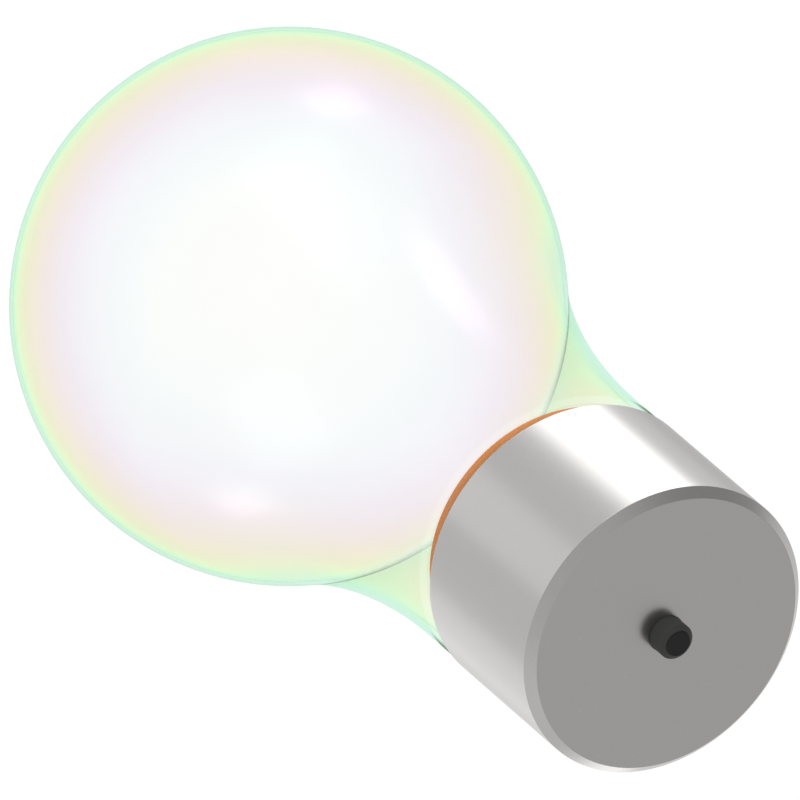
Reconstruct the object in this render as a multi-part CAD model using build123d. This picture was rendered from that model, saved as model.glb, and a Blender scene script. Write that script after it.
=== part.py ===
from build123d import *
from math import atan2, degrees, sqrt
import os

# A light bulb: one clear blown envelope, a round globe that flares into a straight neck,
# on a plain metal cap with a single black contact in the middle of its end.
# Millimetres. The axis is Z. The cap points up, as in a hanging lamp, and the globe hangs below.
# Z = 0 is the cap's rim, where the glass neck is seated.

# Glass envelope
globe_diameter = 60.0
globe_drop = 59.2  # from the cap's rim down to the globe's centre
flare_radius = 78.0  # hollow curve between globe and neck
neck_step = 0.2  # the neck stands back from the cap's outside
globe_wall = 0.4  # the blown wall is thin in the globe
neck_wall = 0.8

# Cap
cap_diameter = 33.6
cap_length = 20.8
cap_wall = 0.8
cap_end = 1.2  # thickness of the end wall
cap_chamfer = 1.0
inner_fit = 0.1  # sliding fit of what is pushed into the cap

# Centre contact
pin_diameter = 4.1
pin_reach = 2.6  # how far the contact stands out of the cap's end
pin_chamfer = 0.65
pin_air_gap = 0.05  # coat of insulating lacquer between contact and end wall
pin_head_diameter = 6.4
pin_head = 0.8

# Insulating liner inside the cap
liner_wall = 0.8
liner_end = 1.2
boss_wall = 2.4  # wall of the boss that grips the contact
boss_depth = 3.0
guide_rib = 1.0  # thickness of each rib beside the driver board
guide_grip = 0.8  # how much of the board's edge the ribs cover
slot_fit = 0.1

# Orange carrier that closes the neck and holds the light source
carrier_reach = 3.1  # how far the carrier stands in the neck
carrier_plate = 1.6
carrier_skirt = 1.6
flange_depth = 2.0
bond_gap = 0.8  # clear bond between carrier and glass
bond_height = 2.5

# Light source on the carrier
led_board_margin = 3.0  # bare rim of the carrier round the board
led_board_thickness = 1.0
station_count = 12  # places round the board, two of which hold screws
station_radius = 8.6
led_width = 2.8
led_length = 3.5
led_height = 0.8
led_frame = 0.35  # white frame round the phosphor
phosphor_depth = 0.3
screw_head_diameter = 3.6
screw_head = 1.2
screw_head_bevel = 0.6
screw_recess_width = 0.6
screw_recess_length = 2.2
screw_recess_depth = 0.6
screw_diameter = 2.0
screw_length = 3.2
screw_boss_wall = 1.2
screw_boss_depth = 2.0

# Plug between driver and light source
plug_pitch = 2.54
plug_pin = 0.64
plug_pin_on_board = 2.8
plug_pin_end_gap = 0.8  # left free under the socket's outer face
plug_wall = 1.4
plug_height = 3.0
plug_fit = 0.1

# Driver board and what is soldered to it
driver_thickness = 1.0
driver_side_gap = 2.6  # from the board's edge to the liner's wall
driver_top_gap = 2.0  # from the board's edge to the contact's head
capacitor_diameter = 8.0
capacitor_length = 9.0
capacitor_bevel = 0.4
capacitor_crimp_depth = 0.4
capacitor_crimp_width = 0.8
capacitor_crimp_level = 1.0  # from the board's face
capacitor_along = -5.5  # from the axis, as for the other pieces on the board
capacitor_rise = 7.2  # from the board's lower edge
choke_diameter = 7.2
choke_height = 7.0
choke_flange = 1.0
choke_core_diameter = 3.4
choke_winding_back = 0.35  # the winding stands back from the flanges
choke_along = 5.5
choke_rise = 6.7
rectifier_size = (4.7, 2.4, 4.0)
rectifier_bevel = 0.25
rectifier_along = -6.2
rectifier_drop = 3.4  # from the board's upper edge
chip_size = (4.9, 1.5, 3.9)
chip_along = 6.0
chip_rise = 8.2
chip_legs = 4  # on each long side
chip_leg_width = 0.42
chip_leg_pitch = 1.27
chip_leg_reach = 1.0
chip_leg_thickness = 0.2
fuse_diameter = 2.2
fuse_length = 6.0
fuse_waist = 0.2
fuse_bell = 1.3
fuse_standoff = 0.3
fuse_lead_diameter = 0.6
fuse_lead_span = 8.0
fuse_along = -6.4
fuse_rise = 4.6

# Leads to the two poles
lead_diameter = 0.8
lead_passage = 0.2  # room round the lead where it leaves the liner
lead_bend = 1.4
lead_offset = 2.4  # of the contact's lead from the axis
contact_lead_drop = 3.4  # from the board's upper edge
shell_lead_drop = 2.4

# Worked out from the sizes above
globe_radius = globe_diameter / 2
cap_radius = cap_diameter / 2
cap_bore = cap_radius - cap_wall
cap_inside = cap_length - cap_end
neck_radius = cap_radius - neck_step
neck_bore = neck_radius - neck_wall
globe_bore = globe_radius - globe_wall
flare_rise = sqrt((globe_radius + flare_radius) ** 2 - (neck_radius + flare_radius) ** 2)
# The inside flare's radius, from its meeting the neck level with the outside one
flare_bore = (flare_rise**2 - globe_bore**2 + neck_bore**2) / (2 * (globe_bore - neck_bore))
pin_radius = pin_diameter / 2
pin_head_radius = pin_head_diameter / 2
liner_radius = cap_bore - inner_fit
liner_bore = liner_radius - liner_wall
liner_inside = cap_inside - liner_end
boss_level = liner_inside - boss_depth
pin_head_level = boss_level - pin_head
spigot_radius = neck_bore - bond_gap
skirt_bore = spigot_radius - carrier_skirt
plate_back = carrier_plate - carrier_reach
led_board_radius = spigot_radius - led_board_margin
led_board_level = -carrier_reach - led_board_thickness
driver_half_width = liner_bore - driver_side_gap
driver_face = driver_thickness / 2
driver_top = pin_head_level - driver_top_gap
plug_centre = driver_face + plug_pin / 2
plug_pin_places = [(-plug_pitch / 2, plug_centre), (plug_pitch / 2, plug_centre)]
socket_length = plug_pitch + plug_pin + 2 * plug_wall
socket_width = plug_pin + 2 * plug_wall
station_turn = 360 / station_count
screw_stations = [station_count // 4, 3 * station_count // 4]
screw_places = [Rot(0, 0, station * station_turn) * Pos(station_radius, 0, 0) for station in screw_stations]
led_stations = [station for station in range(station_count) if station not in screw_stations]
led_places = [Rot(0, 0, station * station_turn) * Pos(station_radius, 0, 0) for station in led_stations]
lead_radius = lead_diameter / 2
contact_lead_level = driver_top - contact_lead_drop
shell_lead_level = driver_top - shell_lead_drop

# Blocks and discs that stand on a level
ON_LEVEL = (Align.CENTER, Align.CENTER, Align.MIN)


def disc(radius, low, high):
    """A round disc about the axis, between two levels."""
    return Pos(0, 0, low) * Cylinder(radius, high - low, align=ON_LEVEL)


def block(length, width, low, high):
    """A rectangular block about the axis, between two levels."""
    return Pos(0, 0, low) * Box(length, width, high - low, align=ON_LEVEL)


def on_driver(along, level, side):
    """A place on one face of the driver board, with its own +Z straight out of that face."""
    return Pos(along, side * driver_face, level) * Rot(-side * 90, 0, 0)


def bent_wire(route, diameter, bend):
    """A round wire along straight runs joined by arcs."""
    path = FilletPolyline(*route, radius=bend)
    section = Plane(origin=path @ 0, z_dir=path % 0) * Circle(diameter / 2)
    return sweep(section, path=path)


def blown_form(globe, neck, flare):
    """A globe, a flare tangent to it and a straight neck, turned solid and closed at the cap's rim."""
    turn = degrees(atan2(flare_rise, neck + flare))
    with BuildPart() as form:
        with BuildSketch(Plane.XZ):
            with BuildLine():
                ball = CenterArc((0, -globe_drop), globe, -90, 90 + turn)
                hollow = CenterArc((neck + flare, flare_rise - globe_drop), flare, 180 + turn, -turn)
                Polyline(hollow @ 1, (neck, 0), (0, 0), ball @ 0)
            make_face()
        revolve(axis=Axis.Z)
    return form.part


def glass_envelope():
    """The one blown piece, whose wall thins from the neck into the globe."""
    outside = blown_form(globe_radius, neck_radius, flare_radius)
    inside = blown_form(globe_bore, neck_bore, flare_bore)
    return outside - inside


def bond_ring():
    """Clear bond between the neck and the carrier, seated on the carrier's flange."""
    return disc(neck_bore, -bond_height, 0) - disc(spigot_radius, -bond_height, 0)


def cap_shell():
    """Metal cup with a chamfered end and a hole for the contact."""
    cup = disc(cap_radius, 0, cap_length)
    end_edge = cup.edges().filter_by(GeomType.CIRCLE).sort_by(Axis.Z)[-1]
    cup = chamfer(end_edge, cap_chamfer)
    cup -= disc(cap_bore, 0, cap_inside)
    cup -= disc(pin_radius + pin_air_gap, cap_inside, cap_length)
    return cup


def contact_pin():
    """Headed black contact, chamfered where the holder's spring meets it."""
    shank = disc(pin_radius, pin_head_level, cap_length + pin_reach)
    end_edge = shank.edges().filter_by(GeomType.CIRCLE).sort_by(Axis.Z)[-1]
    shank = chamfer(end_edge, pin_chamfer)
    return shank + disc(pin_head_radius, pin_head_level, boss_level)


def insulating_liner():
    """Moulded cup that keeps the driver off the cap, grips the contact and guides the board."""
    cup = disc(liner_radius, flange_depth, cap_inside) - disc(liner_bore, flange_depth, liner_inside)
    cup += disc(pin_radius + boss_wall, boss_level, liner_inside)
    slot_face = driver_face + slot_fit
    rib_reach = liner_bore - driver_half_width + guide_grip
    rib_height = liner_inside - flange_depth
    for side in (-1, 1):
        for face in (-1, 1):
            middle = (side * (liner_bore - rib_reach / 2), face * (slot_face + guide_rib / 2), flange_depth)
            rib = Pos(*middle) * Box(rib_reach, guide_rib, rib_height, align=ON_LEVEL)
            cup += rib
    cup -= disc(pin_radius, boss_level, cap_inside)
    passage = Pos(0, 0, shell_lead_level) * Rot(90, 0, 0)
    cup -= passage * Cylinder(lead_radius + lead_passage, liner_radius, align=ON_LEVEL)
    return cup


def led_carrier():
    """Orange moulding: a spigot in the neck, a flange in the cap and bosses for the board's screws."""
    carrier = disc(spigot_radius, -carrier_reach, 0) + disc(liner_radius, 0, flange_depth)
    carrier -= disc(skirt_bore, plate_back, flange_depth)
    bore = screw_diameter / 2
    for place in screw_places:
        carrier += place * disc(bore + screw_boss_wall, plate_back, plate_back + screw_boss_depth)
    for place in screw_places:
        carrier -= place * disc(bore, -carrier_reach, screw_length - carrier_reach - led_board_thickness)
    carrier -= plug_opening(-carrier_reach, plate_back)
    return carrier


def plug_opening(low, high):
    """Slot that lets both plug pins through a plate."""
    length = plug_pitch + plug_pin + 2 * plug_fit
    return Pos(0, plug_centre, 0) * block(length, plug_pin + 2 * plug_fit, low, high)


def led_board():
    """Round board that lies on the carrier, with holes for its screws and for the plug."""
    board = disc(led_board_radius, led_board_level, -carrier_reach)
    board -= plug_opening(led_board_level, -carrier_reach)
    for place in screw_places:
        board -= place * disc(screw_diameter / 2, led_board_level, -carrier_reach)
    return board


def led_window(low, high):
    """Block over the open part of one light-emitting diode."""
    return block(led_length - 2 * led_frame, led_width - 2 * led_frame, low, high)


def led_housings():
    """White frames of the light-emitting diodes, open towards the globe."""
    outer_face = led_board_level - led_height
    housing = block(led_length, led_width, outer_face, led_board_level)
    housing -= led_window(outer_face, outer_face + phosphor_depth)
    return Compound(children=[place * housing for place in led_places])


def led_phosphors():
    """Yellow filling of each frame."""
    outer_face = led_board_level - led_height
    filling = led_window(outer_face, outer_face + phosphor_depth)
    return Compound(children=[place * filling for place in led_places])


def board_screws():
    """Cross-recessed screws that hold the board to the carrier."""
    head_face = led_board_level - screw_head
    screw = disc(screw_head_diameter / 2, head_face, led_board_level)
    head_edge = screw.edges().filter_by(GeomType.CIRCLE).sort_by(Axis.Z)[0]
    screw = chamfer(head_edge, screw_head_bevel)
    screw += disc(screw_diameter / 2, led_board_level, led_board_level + screw_length)
    recess = block(screw_recess_length, screw_recess_width, head_face, head_face + screw_recess_depth)
    screw -= recess
    screw -= Rot(0, 0, 90) * recess
    return Compound(children=[place * screw for place in screw_places])


def plug_socket():
    """Socket on the light source's board, with a square hole for each pin."""
    socket = Pos(0, plug_centre, 0) * block(
        socket_length, socket_width, led_board_level - plug_height, led_board_level
    )
    hole = plug_pin + 2 * plug_fit
    for along, across in plug_pin_places:
        socket -= Pos(along, across, 0) * block(hole, hole, led_board_level - plug_height, led_board_level)
    return socket


def plug_pins():
    """Square pins soldered along the driver board and pushed through into the socket."""
    end = led_board_level - plug_height + plug_pin_end_gap
    pin = block(plug_pin, plug_pin, end, plate_back + plug_pin_on_board)
    return Compound(children=[Pos(along, across, 0) * pin for along, across in plug_pin_places])


def driver_board():
    """Upright board between the guides, standing on the carrier's plate."""
    return block(2 * driver_half_width, driver_thickness, plate_back, driver_top)


def smoothing_capacitor():
    """Round can with a crimped waist, standing on the board."""
    radius = capacitor_diameter / 2
    can = disc(radius, 0, capacitor_length)
    can = chamfer(can.edges().filter_by(GeomType.CIRCLE), capacitor_bevel)
    crimp_top = capacitor_crimp_level + capacitor_crimp_width
    crimp = disc(radius, capacitor_crimp_level, crimp_top)
    crimp -= disc(radius - capacitor_crimp_depth, capacitor_crimp_level, crimp_top)
    return on_driver(capacitor_along, plate_back + capacitor_rise, 1) * (can - crimp)


def choke_core():
    """Ferrite spool of the choke."""
    spool = disc(choke_diameter / 2, 0, choke_height)
    waist = disc(choke_diameter / 2, choke_flange, choke_height - choke_flange)
    spool -= waist - disc(choke_core_diameter / 2, choke_flange, choke_height - choke_flange)
    return on_driver(choke_along, plate_back + choke_rise, -1) * spool


def choke_winding():
    """Copper winding between the spool's flanges."""
    winding = disc(choke_diameter / 2 - choke_winding_back, choke_flange, choke_height - choke_flange)
    winding -= disc(choke_core_diameter / 2, choke_flange, choke_height - choke_flange)
    return on_driver(choke_along, plate_back + choke_rise, -1) * winding


def bridge_rectifier():
    """Small moulded block on the board."""
    length, height, width = rectifier_size
    body = block(length, width, 0, height)
    body = chamfer(body.faces().sort_by(Axis.Z)[-1].edges(), rectifier_bevel)
    return on_driver(rectifier_along, driver_top - rectifier_drop, -1) * body


def driver_chip():
    """Moulded chip with legs along its two long sides."""
    length, height, width = chip_size
    chip = block(length, width, chip_leg_thickness, height)
    first = -(chip_legs - 1) / 2 * chip_leg_pitch
    for leg in range(chip_legs):
        foot = block(chip_leg_width, width + 2 * chip_leg_reach, 0, chip_leg_thickness)
        chip += Pos(first + leg * chip_leg_pitch, 0, 0) * foot
    return on_driver(chip_along, plate_back + chip_rise, 1) * chip


def fuse_resistor():
    """Axial fuse resistor with belled ends, held just off the board by its bent leads."""
    radius = fuse_diameter / 2
    level = fuse_standoff + radius
    body = Cylinder(radius, fuse_length)
    waist_length = fuse_length - 2 * fuse_bell
    waist = Cylinder(radius, waist_length) - Cylinder(radius - fuse_waist, waist_length)
    body = Pos(0, 0, level) * Rot(0, 90, 0) * (body - waist)
    half_span = fuse_lead_span / 2
    route = [(-half_span, 0, 0), (-half_span, 0, level), (half_span, 0, level), (half_span, 0, 0)]
    leads = bent_wire(route, fuse_lead_diameter, fuse_lead_diameter)
    return on_driver(fuse_along, plate_back + fuse_rise, -1) * (body + leads)


def contact_lead():
    """Bent wire from the driver board to the contact's head."""
    start = (0, driver_face, contact_lead_level)
    corner = (0, lead_offset, contact_lead_level)
    end = (0, lead_offset, pin_head_level)
    return bent_wire([start, corner, end], lead_diameter, lead_bend)


def shell_lead():
    """Straight wire from the driver board out to the cap's wall."""
    start = Pos(0, -driver_face, shell_lead_level) * Rot(90, 0, 0)
    wire = start * Cylinder(lead_radius, cap_bore, align=ON_LEVEL)
    return wire & disc(cap_bore, 0, cap_inside)


NODES = [
    glass_envelope,
    bond_ring,
    cap_shell,
    contact_pin,
    insulating_liner,
    led_carrier,
    led_board,
    led_housings,
    led_phosphors,
    board_screws,
    plug_socket,
    plug_pins,
    driver_board,
    smoothing_capacitor,
    choke_core,
    choke_winding,
    bridge_rectifier,
    driver_chip,
    fuse_resistor,
    contact_lead,
    shell_lead,
]

os.makedirs("parts", exist_ok=True)
for node in NODES:
    export_step(node(), f"parts/{node.__name__}.step")
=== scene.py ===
import bpy
from math import atan2, cos, degrees, pi, radians, sin, sqrt, tan
from mathutils import Matrix, Vector


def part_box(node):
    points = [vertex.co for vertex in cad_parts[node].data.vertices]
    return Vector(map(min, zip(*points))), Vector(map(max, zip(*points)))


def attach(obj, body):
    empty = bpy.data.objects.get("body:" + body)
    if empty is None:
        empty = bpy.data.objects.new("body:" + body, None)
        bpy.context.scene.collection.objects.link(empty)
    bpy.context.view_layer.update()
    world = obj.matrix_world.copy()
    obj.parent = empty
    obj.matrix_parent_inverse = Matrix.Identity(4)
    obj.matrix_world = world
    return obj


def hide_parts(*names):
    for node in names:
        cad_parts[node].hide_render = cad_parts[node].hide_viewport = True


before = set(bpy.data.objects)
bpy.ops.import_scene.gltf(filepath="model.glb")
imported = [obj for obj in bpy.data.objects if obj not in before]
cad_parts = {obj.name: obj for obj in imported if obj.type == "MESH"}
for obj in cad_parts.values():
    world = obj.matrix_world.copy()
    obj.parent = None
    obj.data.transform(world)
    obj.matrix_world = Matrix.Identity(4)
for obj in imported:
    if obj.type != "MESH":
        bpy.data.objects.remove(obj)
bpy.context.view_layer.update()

# The bulb hangs with its cap up. All sizes are in metres, and Z = 0 is the cap's rim.
MM = 0.001
WHITE = (1.0, 1.0, 1.0, 1.0)

# Sizes that the frame gives
glass_low, glass_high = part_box("glass_envelope")
cap_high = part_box("cap_shell")[1]
pin_low, pin_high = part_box("contact_pin")
bond_low, bond_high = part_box("bond_ring")
liner_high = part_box("insulating_liner")[1]
globe_radius = glass_high.x
globe_level = glass_low.z + globe_radius
cap_radius = cap_high.x
cap_length = cap_high.z
bond_radius = bond_high.x
pin_head_radius = pin_high.x
pin_end = pin_high.z

# Sizes of the forms that are turned again here, smoother than the frame has them
globe_wall = 0.4 * MM  # the blown wall is thin in the globe
neck_wall = 0.8 * MM
flare_radius = 78.0 * MM
cap_chamfer = 1.0 * MM
cap_wall = 0.8 * MM
pin_radius = 2.05 * MM
pin_air_gap = 0.05 * MM
pin_chamfer = 0.65 * MM
pin_head = 0.8 * MM
bond_gap = 0.8 * MM
bond_back = 0.02 * MM  # the bond stands this far off the glass and the carrier
bond_edge = 0.15 * MM  # rounding of the bond's edges
edge_break = 0.08 * MM  # rounding of a turned edge

# Fineness of the turned forms
ROUND_STEPS = 4  # along a rounding
HOLD_REACH = 2  # how far a holding point lies from its corner, in reaches of the rounding
GLOBE_STEPS = 110
FLARE_STEPS = 32
NECK_STEPS = 4
GLASS_TURNS = 224
METAL_TURNS = 192
PIN_TURNS = 96
SHARP_ANGLE = radians(40)  # edges bent by more than this are shaded sharp

# The blown form, worked out as the part's source does
neck_bore = bond_radius
neck_radius = neck_bore + neck_wall
globe_bore = globe_radius - globe_wall
flare_rise = sqrt((globe_radius + flare_radius) ** 2 - (neck_radius + flare_radius) ** 2)
flare_bore = (flare_rise**2 - globe_bore**2 + neck_bore**2) / (2 * (globe_bore - neck_bore))
joint_level = globe_level + flare_rise * globe_radius / (globe_radius + flare_radius)


# Turned forms
def arc(centre, radius, start, end, steps):
    """Points (radius, level) along an arc, angles in degrees from the outward direction."""
    turns = [radians(start + (end - start) * i / steps) for i in range(steps + 1)]
    return [(centre[0] + radius * cos(a), centre[1] + radius * sin(a)) for a in turns]


def rounded(corners, radius, sharp=0):
    """A closed outline with each corner replaced by a small arc.
    Corners on the axis or at the sharp radius stay as they are.
    A point beside each end of the arc keeps the shading of the straight parts flat."""
    outline = []
    for i, corner in enumerate(corners):
        if corner[0] in (0, sharp):
            outline.append(corner)
            continue
        here = Vector(corner)
        back = (Vector(corners[i - 1]) - here).normalized()
        ahead = (Vector(corners[(i + 1) % len(corners)]) - here).normalized()
        half = back.angle(ahead) / 2
        reach = radius / tan(half)
        middle = here + (back + ahead).normalized() * (radius / sin(half))
        start = here + back * reach - middle
        end = here + ahead * reach - middle
        shares = [step / ROUND_STEPS for step in range(ROUND_STEPS + 1)]
        points = [middle + start.slerp(end, share).normalized() * radius for share in shares]
        points.insert(0, here + back * HOLD_REACH * reach)
        points.append(here + ahead * HOLD_REACH * reach)
        outline += [(point.x, point.y) for point in points]
    return outline


def turned(name, outline, turns, closed=True):
    """A mesh of revolution about Z. Points on the axis become one vertex each."""
    vertices = []
    rings = []
    for radius, level in outline:
        first = len(vertices)
        if radius == 0:
            vertices.append((0, 0, level))
            rings.append([first] * turns)
            continue
        for turn in range(turns):
            angle = 2 * pi * turn / turns
            vertices.append((radius * cos(angle), radius * sin(angle), level))
        rings.append(list(range(first, first + turns)))
    faces = []
    pairs = list(zip(rings, rings[1:]))
    if closed:
        pairs.append((rings[-1], rings[0]))
    for low, high in pairs:
        for turn in range(turns):
            after = (turn + 1) % turns
            corners = [low[turn], low[after], high[after], high[turn]]
            kept = [c for k, c in enumerate(corners) if c != corners[k - 1]]
            if len(kept) > 2:
                faces.append(kept)
    mesh = bpy.data.meshes.new(name)
    mesh.from_pydata(vertices, [], faces)
    mesh.validate()
    mesh.polygons.foreach_set("use_smooth", [True] * len(mesh.polygons))
    mesh.set_sharp_from_angle(angle=SHARP_ANGLE)
    piece = bpy.data.objects.new(name, mesh)
    bpy.context.scene.collection.objects.link(piece)
    return piece


def stand_for(piece, node, slot, *materials):
    """The piece takes a node's place on the one body, with the materials given. Its slot is not used."""
    for material in materials:
        piece.data.materials.append(material)
    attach(piece, "root")
    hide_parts(node)


# Shaders
LINEAR_BLEND = 0.5  # of a Layer Weight node whose Facing grows evenly


class Shader:
    """A material's nodes, with short calls to add and join them."""

    def __init__(self, name):
        self.material = bpy.data.materials.new(name)
        self.material.use_nodes = True
        self.tree = self.material.node_tree
        self.tree.nodes.clear()
        self.output = self.tree.nodes.new("ShaderNodeOutputMaterial")

    def node(self, kind, inputs=None, **settings):
        """Adds a node. A value in inputs sets a socket, and another node's socket is linked to it."""
        made = self.tree.nodes.new("ShaderNode" + kind)
        for key, value in settings.items():
            setattr(made, key, value)
        for key, value in (inputs or {}).items():
            if isinstance(value, bpy.types.NodeSocket):
                self.tree.links.new(value, made.inputs[key])
            else:
                made.inputs[key].default_value = value
        return made

    def math(self, operation, *values):
        return self.node("Math", dict(enumerate(values)), operation=operation).outputs[0]

    def product(self, first, *others):
        for other in others:
            first = self.math("MULTIPLY", first, other)
        return first

    def place(self):
        return self.node("TexCoord").outputs["Object"]

    def part_of_place(self, axis):
        return self.node("SeparateXYZ", {"Vector": self.place()}).outputs[axis]

    def facing(self):
        """Nought where the surface is seen face on, one where it is seen edge on."""
        return self.node("LayerWeight", {"Blend": LINEAR_BLEND}).outputs["Facing"]

    def within(self):
        """One where the surface is seen from its back, as the far side's outside is through the near side."""
        return self.node("NewGeometry").outputs["Backfacing"]

    def noise(self, scale, detail=2.0):
        inputs = {"Vector": self.place(), "Scale": scale, "Detail": detail}
        return self.node("TexNoise", inputs).outputs["Fac"]

    def ramp(self, factor, stops):
        """Colours along a factor. A stop is its place and its colour."""
        made = self.node("ValToRGB", {"Fac": factor})
        elements = made.color_ramp.elements
        while len(elements) < len(stops):
            elements.new(1.0)
        for element, (position, colour) in zip(elements, stops):
            element.position = position
            element.color = (*colour, 1.0)
        return made.outputs["Color"]

    def between(self, factor, low, high, start=0.0, end=1.0):
        """A number from low to high, as the factor goes from start to end."""
        inputs = {"Value": factor, "From Min": start, "From Max": end, "To Min": low, "To Max": high}
        return self.node("MapRange", inputs).outputs["Result"]

    def mixed(self, factor, first, second, blend="MIX"):
        """A colour between two, or another blend of them. A Mix node has its colours at 6, 7 and 2."""
        inputs = {0: factor, 6: first, 7: second}
        return self.node("Mix", inputs, data_type="RGBA", blend_type=blend).outputs[2]

    def bump(self, height, strength, distance):
        inputs = {"Height": height, "Strength": strength, "Distance": distance}
        return self.node("Bump", inputs).outputs["Normal"]

    def blend(self, factor, first, second):
        """One surface or the other, by the factor."""
        return self.node("MixShader", {0: factor, 1: first, 2: second}).outputs["Shader"]

    def finish(self, shader):
        self.tree.links.new(shader, self.output.inputs["Surface"])
        return self.material


# Grain of the solid materials
FINE_DETAIL = 3.0
BROAD_SCALE = 0.1  # the broad grain's scale, as a share of the fine one's
GRAIN_SHARE = 0.5  # of the fine and of the broad grain in the mixture
GRAIN_DARK = 0.35  # the mixture is all dark up to here
GRAIN_LIGHT = 0.65  # and all light from here
GRAIN_BUMP = 0.4  # strength of the fine grain's relief


def grained(name, dark, light, roughness, grain, bump, metallic=0.0, spread=0.05):
    """A solid material whose colour, roughness and surface vary with a fine and a broad grain.
    grain is the fine grain's size and bump its height, in metres; spread is how far the roughness varies."""
    shader = Shader(name)
    fine = shader.noise(1 / grain, FINE_DETAIL)
    broad = shader.noise(BROAD_SCALE / grain)
    broad_part = shader.math("MULTIPLY", broad, GRAIN_SHARE)
    both = shader.math("MULTIPLY_ADD", fine, GRAIN_SHARE, broad_part)
    inputs = {
        "Base Color": shader.ramp(both, [(GRAIN_DARK, dark), (GRAIN_LIGHT, light)]),
        "Roughness": shader.between(both, roughness - spread, roughness + spread),
        "Normal": shader.bump(fine, GRAIN_BUMP, bump),
        "Metallic": metallic,
    }
    return shader.finish(shader.node("BsdfPrincipled", inputs).outputs["BSDF"])


# Iridescent film on the outside of the glass: what one pass lets through, from face on to edge on
FILM = [
    (0.00, (0.995, 0.991, 0.983)),
    (0.11, (0.980, 0.987, 0.975)),
    (0.21, (0.960, 0.969, 0.974)),
    (0.32, (0.942, 0.943, 0.961)),
    (0.41, (0.934, 0.918, 0.934)),
    (0.52, (0.933, 0.897, 0.875)),
    (0.61, (0.927, 0.902, 0.812)),
    (0.69, (0.905, 0.920, 0.770)),
    (0.76, (0.876, 0.960, 0.772)),
    (0.82, (0.792, 0.976, 0.815)),
    (0.88, (0.764, 0.920, 0.828)),
    (1.00, (0.740, 0.880, 0.820)),
]
# What the film mirrors, also from face on to edge on
FILM_SHINE = [
    (0.00, (1.00, 1.00, 0.96)),
    (0.11, (0.90, 1.00, 1.00)),
    (0.18, (0.60, 1.00, 1.00)),
    (0.24, (0.75, 1.00, 1.00)),
    (0.30, (1.00, 0.96, 1.00)),
    (0.36, (1.00, 0.64, 1.00)),
    (0.42, (1.00, 0.55, 0.95)),
    (0.54, (1.00, 0.75, 0.80)),
    (0.70, (1.00, 1.00, 1.00)),
]
FILM_GLOSS = 0.03  # mirrored face on
FILM_EDGE_GLOSS = 0.10  # mirrored edge on
FILM_DRIFT = 0.04  # how far the film's thickness drifts
FILM_PATCH = 25.0 * MM  # over this distance
FACING_POWER = 5.0  # how fast the mirroring grows towards the edge
GLASS_BLUR = 0.24  # roughness of what the glass mirrors

# The film is paler on the flare and the neck where it is seen edge on
FLARE_EDGE = (0.80, 1.0, 0.92, 1.0)
FLARE_EDGE_SHARE = 0.5
FLARE_EDGE_FACING = (0.84, 0.89)
FLARE_START = 8.0 * MM  # above the joint

# Seen from within and at a slant, the film is deeper just above the joint
FLARE_DEEPER = (0.87, 0.955, 0.83, 1.0)
FLARE_DEEPER_END = 22.0 * MM  # down the neck from the cap's rim
FLARE_DEEPER_FACING = (0.55, 0.75)

# The inside's dark edge, which is hidden on the flare and comes back towards the foot
INNER_FACE = [(0.85, (1, 1, 1)), (0.95, (0.96, 0.975, 0.965)), (1.0, (0.84, 0.88, 0.86))]
WALL_LINE_START = 17.0 * MM  # down the neck from the cap's rim
WALL_LINE_FULL = 12.0 * MM

# Painted shade where the flare leaves the globe and at the foot: a dark line where the glass is seen edge on
EDGE_ON_SHADE = (0.08, 0.17, 0.07, 1.0)
JOINT_DEPTH = 0.87
JOINT_ABOVE = 1.6 * MM  # the darkest line lies this far up the flare
JOINT_REACH = 3.2 * MM  # down the globe from that line
JOINT_POWER = 1.8
JOINT_FACING = (0.74, 0.90)
FOOT_DEPTH = 0.95
FOOT_HEIGHT = 3.6 * MM  # down the neck from the cap's rim
FOOT_FACING = (0.85, 0.92)
FOOT_CLEARING = 0.5  # how much of the film the bond's contact takes away
SOFT_EDGE = 0.3 * MM
line_level = joint_level + JOINT_ABOVE


def mirrored_share(shader):
    """The share of light that a wall mirrors, from face on to edge on."""
    steep = shader.math("POWER", shader.facing(), FACING_POWER)
    return shader.between(steep, FILM_GLOSS, FILM_EDGE_GLOSS)


def see_through(shader, tint):
    """Glass so thin that it doesn't bend what is seen through it."""
    return shader.node("BsdfTransparent", {"Color": tint}).outputs["BSDF"]


def joint_line(shader, level):
    """Painted shade: the dark line where the flare leaves the globe, seen from within: it fades down the
    globe.
    """
    rising = shader.between(level, 0.0, 1.0, line_level - JOINT_REACH, line_level)
    below = shader.math("LESS_THAN", level, line_level)
    grazing = shader.between(shader.facing(), 0.0, JOINT_DEPTH, *JOINT_FACING)
    fading = shader.math("POWER", rising, JOINT_POWER)
    return shader.product(fading, grazing, below, shader.within())


def foot_line(shader, level):
    """Painted shade: the dark outline of the neck's foot."""
    foot = shader.between(level, 0.0, 1.0, -FOOT_HEIGHT - SOFT_EDGE, -FOOT_HEIGHT + SOFT_EDGE)
    grazing = shader.between(shader.facing(), 0.0, FOOT_DEPTH, *FOOT_FACING)
    return shader.product(foot, grazing)


def flare_depth(shader, level):
    """How far the film deepens on the flare, seen from within and at a slant: most just above the joint."""
    above = shader.between(level, 0.0, 1.0, line_level - SOFT_EDGE, line_level + SOFT_EDGE)
    fading = shader.between(level, 1.0, 0.0, line_level, -FLARE_DEEPER_END)
    slant = shader.between(shader.facing(), 0.0, 1.0, *FLARE_DEEPER_FACING)
    return shader.product(above, fading, shader.within(), slant)


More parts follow.
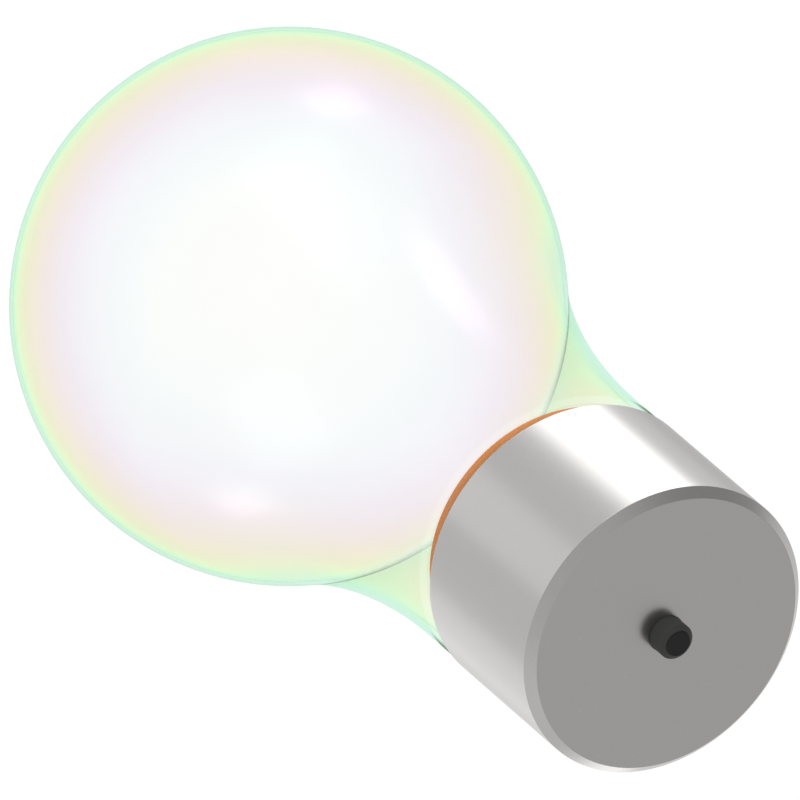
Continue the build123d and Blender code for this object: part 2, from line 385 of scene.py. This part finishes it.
def film_glass():
    """Outside of the envelope: an iridescent film, weaker where the bond lies behind it, with painted shade
    along the joint and the foot.
    """
    shader = Shader("film_glass")
    level = shader.part_of_place("Z")
    drift = shader.between(shader.noise(1 / FILM_PATCH), -FILM_DRIFT, FILM_DRIFT)
    film = shader.ramp(shader.math("ADD", shader.facing(), drift), FILM)
    flare = shader.between(level, 0.0, FLARE_EDGE_SHARE, joint_level, joint_level + FLARE_START)
    edge = shader.between(shader.facing(), 0.0, 1.0, *FLARE_EDGE_FACING)
    film = shader.mixed(shader.product(flare, edge), film, FLARE_EDGE)
    film = shader.mixed(flare_depth(shader, level), film, FLARE_DEEPER, "MULTIPLY")
    bond_start = (bond_low.z - SOFT_EDGE, bond_low.z + SOFT_EDGE)
    film = shader.mixed(shader.between(level, 0.0, FOOT_CLEARING, *bond_start), film, WHITE)
    # Painted shade: dark lines at the joint and at the foot where the glass is seen edge on
    edge_on_shade_mask = shader.math("MAXIMUM", joint_line(shader, level), foot_line(shader, level))
    clear = see_through(shader, shader.mixed(edge_on_shade_mask, film, EDGE_ON_SHADE))
    shine = shader.ramp(shader.facing(), FILM_SHINE)
    mirror = shader.node("BsdfGlossy", {"Color": shine, "Roughness": GLASS_BLUR}).outputs["BSDF"]
    return shader.finish(shader.blend(mirrored_share(shader), clear, mirror))


def inner_glass():
    """Inside of the envelope, plain clear glass. In the flare its dark edge only shows near the foot."""
    shader = Shader("inner_glass")
    level = shader.part_of_place("Z")
    left_globe = shader.between(level, 0.0, 1.0, joint_level, joint_level + FLARE_START)
    before_foot = shader.between(level, 1.0, 0.0, -WALL_LINE_START, -WALL_LINE_FULL)
    hidden = shader.product(left_globe, before_foot)
    tint = shader.mixed(hidden, shader.ramp(shader.facing(), INNER_FACE), WHITE)
    return shader.finish(see_through(shader, tint))


# Clear adhesive, from face on to edge on, and the milk in it
BOND_TINT = [(0.0, (0.985, 0.990, 0.985)), (0.8, (0.97, 0.98, 0.97)), (1.0, (0.90, 0.93, 0.91))]
BOND_MILK = (0.92, 0.94, 0.92, 1.0)
BOND_MILK_SHARE = (0.005, 0.02)
BOND_CLOUDS = 900.0  # to the metre


def clear_bond():
    """Clear adhesive, a little milky, and darker where it is seen edge on."""
    shader = Shader("clear_bond")
    clear = see_through(shader, shader.ramp(shader.facing(), BOND_TINT))
    milk = shader.node("BsdfDiffuse", {"Color": BOND_MILK}).outputs["BSDF"]
    cloud = shader.between(shader.noise(BOND_CLOUDS), *BOND_MILK_SHARE)
    return shader.finish(shader.blend(cloud, clear, milk))


def satin_metal():
    """Blasted metal: a fine even grain that blurs what it mirrors."""
    return grained(
        "satin_metal",
        dark=(0.416, 0.406, 0.397),
        light=(0.424, 0.414, 0.405),
        roughness=0.27,
        grain=0.12 * MM,
        bump=0.00003 * MM,
        metallic=1.0,
        spread=0.01,
    )


# Blackened contact, with painted shade that darkens its bevel and its end
CONTACT_FLANK = [(GRAIN_DARK, (0.040, 0.041, 0.040)), (GRAIN_LIGHT, (0.052, 0.053, 0.052))]
# Painted shade: the bevel and the end are coloured darker than the flanks
CONTACT_BEVEL_SHADE = (0.030, 0.030, 0.029, 1.0)
CONTACT_END_SHADE = (0.004, 0.004, 0.004, 1.0)
CONTACT_ROUGHNESS = (0.55, 0.40)  # of the flanks and of the rubbed end
CONTACT_SPECULAR = 0.22
CONTACT_GRAIN = 0.1 * MM
CONTACT_GRAIN_HEIGHT = 0.0005 * MM
CONTACT_BUMP = 0.3  # strength of the grain's relief


def blackened_metal():
    """Blackened contact: matt flanks, a bevel darkened by painted shade, and an end that the holder's spring
    has rubbed smooth, darkened further by painted shade.
    """
    shader = Shader("black_contact")
    grain = shader.noise(1 / CONTACT_GRAIN, FINE_DETAIL)
    level = shader.part_of_place("Z")
    flank = shader.ramp(grain, CONTACT_FLANK)
    bevel_level = pin_end - pin_chamfer
    # Painted shade: the bevel, and the end still more, take darker colours than the flanks
    bevel_shade = shader.between(level, 0.0, 1.0, bevel_level - edge_break, bevel_level + edge_break)
    rubbed_end_and_shade = shader.between(level, 0.0, 1.0, pin_end - 2 * edge_break, pin_end - edge_break)
    sides_and_bevel_shade = shader.mixed(bevel_shade, flank, CONTACT_BEVEL_SHADE)
    inputs = {
        "Base Color": shader.mixed(rubbed_end_and_shade, sides_and_bevel_shade, CONTACT_END_SHADE),
        "Roughness": shader.between(rubbed_end_and_shade, *CONTACT_ROUGHNESS),
        "Specular IOR Level": CONTACT_SPECULAR,
        "Normal": shader.bump(grain, CONTACT_BUMP, CONTACT_GRAIN_HEIGHT),
    }
    return shader.finish(shader.node("BsdfPrincipled", inputs).outputs["BSDF"])


# Forms
def blown_outline(globe, neck, flare):
    """From the globe's pole up the globe, the flare and the neck to the foot."""
    turn = degrees(atan2(flare_rise, neck + flare))
    ball = arc((0.0, globe_level), globe, -90, turn, GLOBE_STEPS)
    ball[0] = (0, ball[0][1])  # the pole, exactly on the axis
    hollow = arc((neck + flare, globe_level + flare_rise), flare, 180 + turn, 180, FLARE_STEPS)
    neck_level = hollow[-1][1]
    straight = [(neck, neck_level * step / NECK_STEPS) for step in reversed(range(NECK_STEPS))]
    return ball + hollow[1:] + straight


def glass_envelope():
    """Globe, flare and neck as one wall, closed at the pole and open at the foot."""
    outside = blown_outline(globe_radius, neck_radius, flare_radius)
    inside = blown_outline(globe_bore, neck_bore, flare_bore)
    piece = turned("glass_bulb", outside + inside[::-1], GLASS_TURNS, closed=False)
    stand_for(piece, "glass_envelope", "clear_glass", film_glass(), inner_glass())
    outside_strips = len(outside) - 1
    for face in piece.data.polygons:
        face.material_index = 0 if face.index // GLASS_TURNS < outside_strips else 1


def bond_ring():
    """Clear adhesive between the neck's foot and the carrier."""
    outer = bond_radius - bond_back
    inner = bond_radius - bond_gap + bond_back
    corners = [(outer, bond_low.z), (outer, 0), (inner, 0), (inner, bond_low.z)]
    piece = turned("bond_collar", rounded(corners, bond_edge), METAL_TURNS)
    stand_for(piece, "bond_ring", "clear_bond", clear_bond())


def cap_shell():
    """Metal cup with a chamfered end and a hole for the contact."""
    bore = cap_radius - cap_wall
    hole = pin_radius + pin_air_gap
    inside = liner_high.z
    corners = [
        (bore, 0),
        (cap_radius, 0),
        (cap_radius, cap_length - cap_chamfer),
        (cap_radius - cap_chamfer, cap_length),
        (hole, cap_length),
        (hole, inside),
        (bore, inside),
    ]
    piece = turned("metal_cap", rounded(corners, edge_break, sharp=hole), METAL_TURNS)
    stand_for(piece, "cap_shell", "satin_metal", satin_metal())


def contact_pin():
    """Headed contact with a chamfered end."""
    corners = [
        (0, pin_low.z),
        (pin_head_radius, pin_low.z),
        (pin_head_radius, pin_low.z + pin_head),
        (pin_radius, pin_low.z + pin_head),
        (pin_radius, pin_end - pin_chamfer),
        (pin_radius - pin_chamfer, pin_end),
        (0, pin_end),
    ]
    piece = turned("black_contact", rounded(corners, edge_break), PIN_TURNS, closed=False)
    stand_for(piece, "contact_pin", "black_contact", blackened_metal())


glass_envelope()
bond_ring()
cap_shell()
contact_pin()

# Finishes of the nodes that keep their own form: dark and light of the grain, roughness,
# the grain's size and height in millimetres, and whether it is metal
FINISHES = {
    "black_moulding": ((0.018, 0.018, 0.020), (0.030, 0.030, 0.032), 0.55, 0.06, 0.003, 0.0),
    "tinned_wire": ((0.68, 0.67, 0.64), (0.76, 0.75, 0.72), 0.30, 0.10, 0.001, 1.0),
    "liner": ((0.78, 0.78, 0.75), (0.84, 0.84, 0.81), 0.50, 0.20, 0.002, 0.0),
    "orange": ((0.62, 0.195, 0.002), (0.67, 0.215, 0.004), 0.50, 0.20, 0.002, 0.0),
    "white_board": ((0.82, 0.83, 0.82), (0.88, 0.89, 0.88), 0.35, 0.30, 0.001, 0.0),
    "led_white": ((0.84, 0.84, 0.82), (0.90, 0.90, 0.88), 0.45, 0.10, 0.001, 0.0),
    "led_yellow": ((0.80, 0.62, 0.08), (0.88, 0.72, 0.14), 0.40, 0.06, 0.002, 0.0),
    "zinc": ((0.60, 0.60, 0.60), (0.70, 0.70, 0.69), 0.30, 0.10, 0.001, 1.0),
    "socket_white": ((0.80, 0.79, 0.74), (0.86, 0.85, 0.80), 0.40, 0.20, 0.001, 0.0),
    "tin": ((0.68, 0.67, 0.64), (0.76, 0.75, 0.72), 0.25, 0.10, 0.001, 1.0),
    "green_board": ((0.03, 0.16, 0.07), (0.05, 0.22, 0.10), 0.35, 0.30, 0.001, 0.0),
    "blue_sleeve": ((0.02, 0.05, 0.18), (0.03, 0.07, 0.24), 0.35, 0.30, 0.001, 0.0),
    "ferrite": ((0.045, 0.045, 0.048), (0.075, 0.075, 0.080), 0.60, 0.08, 0.004, 0.0),
    "copper": ((0.70, 0.27, 0.12), (0.82, 0.36, 0.18), 0.30, 0.10, 0.002, 1.0),
    "fuse_coat": ((0.16, 0.36, 0.42), (0.22, 0.44, 0.50), 0.40, 0.10, 0.002, 0.0),
}
NODE_FINISHES = {
    "insulating_liner": "liner",
    "led_carrier": "orange",
    "led_board": "white_board",
    "led_housings": "led_white",
    "led_phosphors": "led_yellow",
    "board_screws": "zinc",
    "plug_socket": "socket_white",
    "plug_pins": "tin",
    "driver_board": "green_board",
    "smoothing_capacitor": "blue_sleeve",
    "choke_core": "ferrite",
    "choke_winding": "copper",
    "bridge_rectifier": "black_moulding",
    "driver_chip": "black_moulding",
    "fuse_resistor": "fuse_coat",
    "contact_lead": "tinned_wire",
    "shell_lead": "tinned_wire",
}
materials = {}
for name, (dark, light, roughness, grain, height, metallic) in FINISHES.items():
    materials[name] = grained(name, dark, light, roughness, grain * MM, height * MM, metallic)
for node, finish in NODE_FINISHES.items():
    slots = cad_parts[node].data.materials
    slots.clear()
    slots.append(materials[finish])

# Studio
middle = Vector((0, 0, (glass_low.z + cap_length) / 2))
FLOOR_LEVEL = -0.50
FLOOR_SIZE = 3.0
FLOOR_PAINT = (0.9, 0.9, 0.9, 1.0)
FLOOR_ROUGHNESS = 0.9
FLOOR_LIFT = 0.162  # what brings the floor to white where it is seen
DAYLIGHT = 0.90  # of the world on matt surfaces
LAMP_DISTANCE = 0.45  # of lamps and cards from the bulb's middle


def shown_white(tree):
    """One where the background is seen straight, mirrored or through glass, and nought for its light."""
    path = tree.nodes.new("ShaderNodeLightPath")
    seen = path.outputs["Is Camera Ray"]
    for name in ("Is Glossy Ray", "Is Transmission Ray"):
        either = tree.nodes.new("ShaderNodeMath")
        either.operation = "MAXIMUM"
        tree.links.new(seen, either.inputs[0])
        tree.links.new(path.outputs[name], either.inputs[1])
        seen = either.outputs[0]
    return seen


def white_world():
    """White where it is seen, and a little less as a light."""
    world = bpy.data.worlds.new("studio")
    bpy.context.scene.world = world
    world.use_nodes = True
    tree = world.node_tree
    tree.nodes.clear()
    either = tree.nodes.new("ShaderNodeMixShader")
    tree.links.new(shown_white(tree), either.inputs[0])
    for socket, strength in ((1, DAYLIGHT), (2, 1.0)):
        light = tree.nodes.new("ShaderNodeBackground")
        light.inputs["Color"].default_value = WHITE
        light.inputs["Strength"].default_value = strength
        tree.links.new(light.outputs[0], either.inputs[socket])
    output = tree.nodes.new("ShaderNodeOutputWorld")
    tree.links.new(either.outputs[0], output.inputs["Surface"])


def card(name, width, height, level=0.0):
    """A flat level rectangle about the axis."""
    x, y = width / 2, height / 2
    corners = [(-x, -y, level), (x, -y, level), (x, y, level), (-x, y, level)]
    mesh = bpy.data.meshes.new(name)
    mesh.from_pydata(corners, [], [(0, 1, 2, 3)])
    made = bpy.data.objects.new(name, mesh)
    bpy.context.scene.collection.objects.link(made)
    return made


def pale_floor():
    """Pale floor that keeps the shadow, lifted to white where it is seen."""
    shader = Shader("pale_floor")
    lift = shader.math("MULTIPLY", shown_white(shader.tree), FLOOR_LIFT)
    inputs = {
        "Base Color": FLOOR_PAINT,
        "Roughness": FLOOR_ROUGHNESS,
        "Emission Color": WHITE,
        "Emission Strength": lift,
    }
    surface = shader.node("BsdfPrincipled", inputs).outputs["BSDF"]
    made = card("floor", FLOOR_SIZE, FLOOR_SIZE, FLOOR_LEVEL)
    made.data.materials.append(shader.finish(surface))


TENT_RADIUS = 1.5
TENT_STEPS = 24
TENT_TURNS = 64
TENT_SHADES = [(0.0, 0.40), (0.08, 0.45), (0.30, 0.72), (0.50, 0.75), (0.85, 0.84), (0.96, 1.05), (1.0, 1.10)]


def only_in_shines(piece):
    """A studio card that is seen in shiny surfaces and nowhere else."""
    piece.visible_camera = False
    piece.visible_diffuse = False
    piece.visible_transmission = False
    piece.visible_shadow = False


def grey_tent():
    """Grey half dome over the bulb: it lightens from one side to the other."""
    shader = Shader("grey_tent")
    across = shader.between(shader.part_of_place("X"), 0.0, 1.0, -TENT_RADIUS, TENT_RADIUS)
    shade = shader.ramp(across, [(place, (level, level, level)) for place, level in TENT_SHADES])
    glow = shader.node("Emission", {"Color": shade}).outputs["Emission"]
    outline = arc((0.0, 0.0), TENT_RADIUS, 0, 90, TENT_STEPS)
    outline[-1] = (0, TENT_RADIUS)
    tent = turned("grey_tent", outline, TENT_TURNS, closed=False)
    tent.data.materials.append(shader.finish(glow))
    only_in_shines(tent)


def aimed(made, direction):
    """Puts a lamp or card in a direction from the bulb's middle, facing it."""
    towards = Vector(direction).normalized()
    made.location = middle + towards * LAMP_DISTANCE
    made.rotation_euler = towards.to_track_quat("Z", "Y").to_euler()


def lamp(name, direction, width, height, brightness, only=None):
    """A soft panel. Brightness 1 adds as much again as the white background.
    A piece named in only is all that it lights, as if flags kept it off the rest."""
    data = bpy.data.lights.new(name, "AREA")
    data.shape = "RECTANGLE"
    data.size = width
    data.size_y = height
    data.energy = brightness * pi * width * height
    made = bpy.data.objects.new(name, data)
    bpy.context.scene.collection.objects.link(made)
    aimed(made, direction)
    made.visible_camera = False
    if only:
        lit = bpy.data.collections.new(name)
        lit.objects.link(bpy.data.objects[only])
        made.light_linking.receiver_collection = lit


def grey_flag(direction, width, height, level):
    """A grey card that keeps the white background out of the metal."""
    shader = Shader("grey_flag")
    glow = shader.node("Emission", {"Color": (level, level, level, 1.0)}).outputs["Emission"]
    flag = card("grey_flag", width, height)
    flag.data.materials.append(shader.finish(glow))
    aimed(flag, direction)
    only_in_shines(flag)


white_world()
pale_floor()
grey_tent()
# Direction from the bulb, width and height, and how bright
grey_flag((-0.40, 0.70, -0.60), 0.18, 0.26, 0.70)
lamp("left_panel", (-0.65, -0.13, -0.75), 0.315, 0.26, 2.0, only="metal_cap")
lamp("under_panel", (0.20, -0.63, -0.75), 0.24, 0.20, 0.33)
lamp("back_panel", (0.55, 0.30, -0.75), 0.30, 0.20, 0.36)
lamp("rim_panel", (0.60, 0.77, -0.20), 0.27, 0.15, 1.15)
lamp("low_panel", (-0.86, -0.29, -0.42), 0.13, 0.11, 6.2)
lamp("front_panel", (-0.64, -0.755, 0.13), 0.27, 0.32, 1.7)

# Camera: a long lens, because the picture is close to a parallel view
AXIS_TO_SIGHT = radians(41.4)  # between the bulb's axis and the line of sight
AXIS_ON_PICTURE = radians(-40.9)  # the cap points right and down
PICTURE = 800.0
GLOBE_ON_PICTURE = (288.8, 306.4)
GLOBE_ON_PICTURE_RADIUS = 281.6
LENS = 1500.0
SENSOR = 36.0
NEARER = 0.022  # the plane of true size lies this far before the globe's centre
CLIP_REACH = 2  # how far the camera sees, in distances to the globe

sight = Vector((0, -sin(AXIS_TO_SIGHT), cos(AXIS_TO_SIGHT)))
along = Vector((0, cos(AXIS_TO_SIGHT), sin(AXIS_TO_SIGHT)))
beside = Vector((-1, 0, 0))
right = along * cos(AXIS_ON_PICTURE) - beside * sin(AXIS_ON_PICTURE)
upward = along * sin(AXIS_ON_PICTURE) + beside * cos(AXIS_ON_PICTURE)
pixel = globe_radius / GLOBE_ON_PICTURE_RADIUS
true_distance = PICTURE * pixel * LENS / SENSOR
distance = true_distance + NEARER
globe_pixel = pixel * distance / true_distance
target = Vector((0, 0, globe_level))
target += right * (PICTURE / 2 - GLOBE_ON_PICTURE[0]) * globe_pixel
target += upward * (GLOBE_ON_PICTURE[1] - PICTURE / 2) * globe_pixel

lens = bpy.data.cameras.new("camera")
lens.lens = LENS
lens.sensor_width = SENSOR
lens.clip_end = CLIP_REACH * distance
camera = bpy.data.objects.new("camera", lens)
bpy.context.scene.collection.objects.link(camera)
turn = Matrix((right, upward, sight)).transposed()
camera.matrix_world = Matrix.Translation(target + sight * distance) @ turn.to_4x4()
bpy.context.scene.camera = camera
bpy.context.scene.view_settings.view_transform = "Standard"
